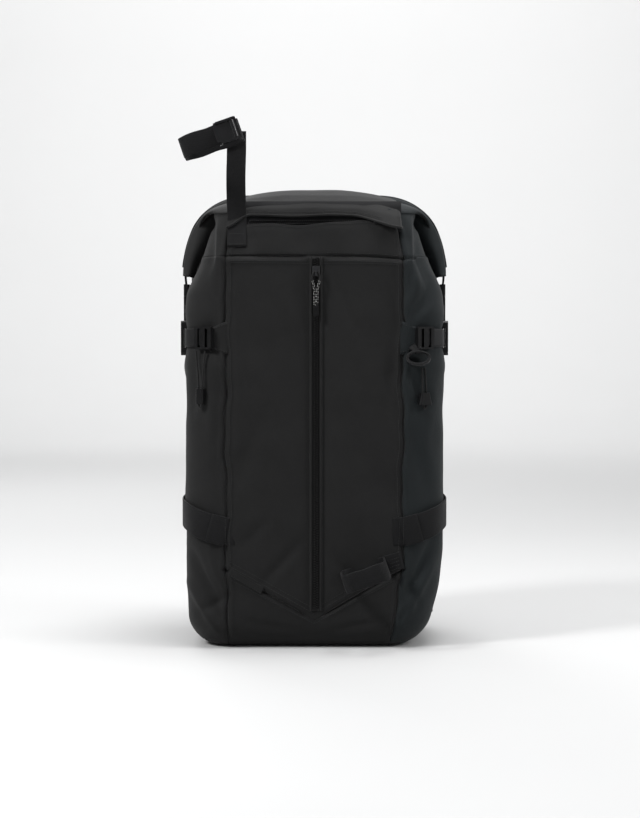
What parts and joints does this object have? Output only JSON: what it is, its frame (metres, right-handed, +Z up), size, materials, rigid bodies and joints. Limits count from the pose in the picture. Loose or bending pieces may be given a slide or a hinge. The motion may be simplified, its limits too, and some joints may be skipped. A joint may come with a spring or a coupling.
{
  "type": "ski backpack",
  "caption": "Black roll-top ski-touring backpack with a front zip, side compression straps, diagonal ski straps, side loops and a padded harness.",
  "frame": {"origin": "centre of the flat base that the pack stands on", "axes": "+Z up, +X to the right when the outer (front) face is looked at, -Y out of the front face, +Y out of the harness side"},
  "size_m": [0.34, 0.3705, 0.653],
  "materials": {
    "shell_fabric": "matte woven nylon, coated inside",
    "side_fabric": "matte woven nylon, faintly blue-green",
    "top_fabric": "matte woven nylon, slightly lighter",
    "webbing": "tight ribbed polyamide webbing",
    "gloss_buckle": "glossy moulded acetal",
    "buckle_plastic": "fine-textured moulded acetal",
    "zip_coil": "nylon coil on woven tape",
    "zip_metal": "black painted zinc",
    "pad_mesh": "open spacer mesh over foam",
    "cord": "braided sheath with a light reflective tracer",
    "frame_plastic": "polyethylene sheet",
    "stay_alloy": "flat anodised bar"
  },
  "bodies": {
    "pack": {"back_pads": "pad_mesh", "back_panel": "shell_fabric", "base_panel": "shell_fabric", "collar_band": "shell_fabric", "collar_hood": "top_fabric", "compression_clips": "buckle_plastic", "compression_locks": "buckle_plastic", "compression_tabs": "webbing", "compression_webs": "webbing", "frame_sheet": "frame_plastic", "frame_stays": "stay_alloy", "front_panel": "shell_fabric", "front_zip_tape": "zip_coil", "load_lifters": "webbing", "lower_ski_strap": "webbing", "lumbar_pad": "pad_mesh", "roll_anchors": "webbing", "roll_sockets": "buckle_plastic", "shoulder_strap_left": "pad_mesh", "shoulder_strap_right": "pad_mesh", "side_loop_left": "webbing", "side_loop_right": "webbing", "side_panel_left": "side_fabric", "side_panel_right": "side_fabric", "ski_buckle": "gloss_buckle", "sternum_rails": "buckle_plastic", "strap_keeper_right": "webbing", "strap_webs": "webbing", "tool_divider": "top_fabric", "top_zip_flap": "top_fabric", "top_zip_tape": "zip_coil", "upper_ski_strap": "webbing", "upper_strap_riser": "webbing"},
    "roll_top": {"roll_bundle": "top_fabric", "roll_stiffener": "frame_plastic", "roll_ends": "top_fabric", "roll_straps": "webbing", "roll_plugs": "buckle_plastic"},
    "front_slider": {"front_zip_slider": "zip_metal"},
    "front_pull": {"front_pull_cord": "cord", "front_pull_tip": "buckle_plastic"},
    "top_slider": {"top_zip_slider": "zip_metal"},
    "top_pull": {"top_zip_tab": "zip_metal"},
    "left_toggle": {"toggle_cord_left": "cord", "toggle_lock_left": "buckle_plastic"},
    "right_toggle": {"toggle_cord_right": "cord", "toggle_tab_right": "buckle_plastic"},
    "ski_lever": {"ski_buckle_lever": "gloss_buckle"},
    "haul": {"haul_loop": "webbing"},
    "chest_strap": {"sternum_sliders": "buckle_plastic", "sternum_webs": "webbing", "sternum_socket": "buckle_plastic", "sternum_plug": "buckle_plastic"},
    "hip_left": {"hip_wing_left": "pad_mesh", "hip_socket": "buckle_plastic"},
    "hip_right": {"hip_wing_right": "pad_mesh", "hip_plug": "buckle_plastic"},
    "upper_arm": {"hip_arm_upper": "buckle_plastic"},
    "lower_arm": {"hip_arm_lower": "buckle_plastic"}
  },
  "joints": [
    {"name": "roll_top_lift", "type": "slide", "parent": "pack", "child": "roll_top", "axis": [0, 0, 1], "range_m": [0, 0.12]},
    {"name": "front_zip_slide", "type": "slide", "parent": "pack", "child": "front_slider", "axis": [0, 0, -1], "range_m": [0, 0.4]},
    {"name": "front_pull_swing", "type": "hinge", "parent": "front_slider", "child": "front_pull", "pos_m": [0.002, -0.1169, 0.4692], "axis": [-1, 0, 0], "range_deg": [0, 140]},
    {"name": "top_zip_slide", "type": "slide", "parent": "pack", "child": "top_slider", "axis": [-1, 0, 0], "range_m": [0, 0.165]},
    {"name": "top_pull_swing", "type": "hinge", "parent": "top_slider", "child": "top_pull", "pos_m": [0.0945, -0.10497, 0.53227], "axis": [0, 0.2873, 0.9578], "range_deg": [0, 150]},
    {"name": "left_toggle_swing", "type": "hinge", "parent": "pack", "child": "left_toggle", "pos_m": [-0.1411, -0.10685, 0.3705], "axis": [-0.8291, 0.5591, 0], "range_deg": [0, 80]},
    {"name": "right_toggle_swing", "type": "hinge", "parent": "pack", "child": "right_toggle", "pos_m": [0.1353, -0.1085, 0.35], "axis": [-0.8396, -0.5432, 0], "range_deg": [0, 80]},
    {"name": "ski_lever_open", "type": "hinge", "parent": "pack", "child": "ski_lever", "pos_m": [-0.09663, -0.1796, 0.63777], "axis": [-0.3256, 0, 0.9455], "range_deg": [0, 110]},
    {"name": "haul_loop_fold", "type": "hinge", "parent": "pack", "child": "haul", "pos_m": [0, 0.1125, 0.471], "axis": [-1, 0, 0], "range_deg": [0, 80]},
    {"name": "chest_strap_height", "type": "slide", "parent": "pack", "child": "chest_strap", "axis": [0, 0, 1], "range_m": [-0.05, 0.05]},
    {"name": "hip_left_swing", "type": "hinge", "parent": "pack", "child": "hip_left", "pos_m": [-0.13, 0.118, 0.105], "axis": [0, 0, 1], "range_deg": [0, 110]},
    {"name": "hip_right_swing", "type": "hinge", "parent": "pack", "child": "hip_right", "pos_m": [0.13, 0.118, 0.105], "axis": [0, 0, -1], "range_deg": [0, 110]},
    {"name": "upper_arm_squeeze", "type": "hinge", "parent": "hip_right", "child": "upper_arm", "pos_m": [0.025, 0.135, 0.1195], "axis": [0, -1, 0], "range_deg": [0, 12], "stiffness_Nm_per_rad": 0.3},
    {"name": "lower_arm_squeeze", "type": "hinge", "parent": "hip_right", "child": "lower_arm", "pos_m": [0.025, 0.135, 0.0905], "axis": [0, 1, 0], "range_deg": [0, 12], "stiffness_Nm_per_rad": 0.3}
  ],
  "couplings": [
    {"joint": "lower_arm_squeeze", "follows": "upper_arm_squeeze", "ratio": 1}
  ]
}
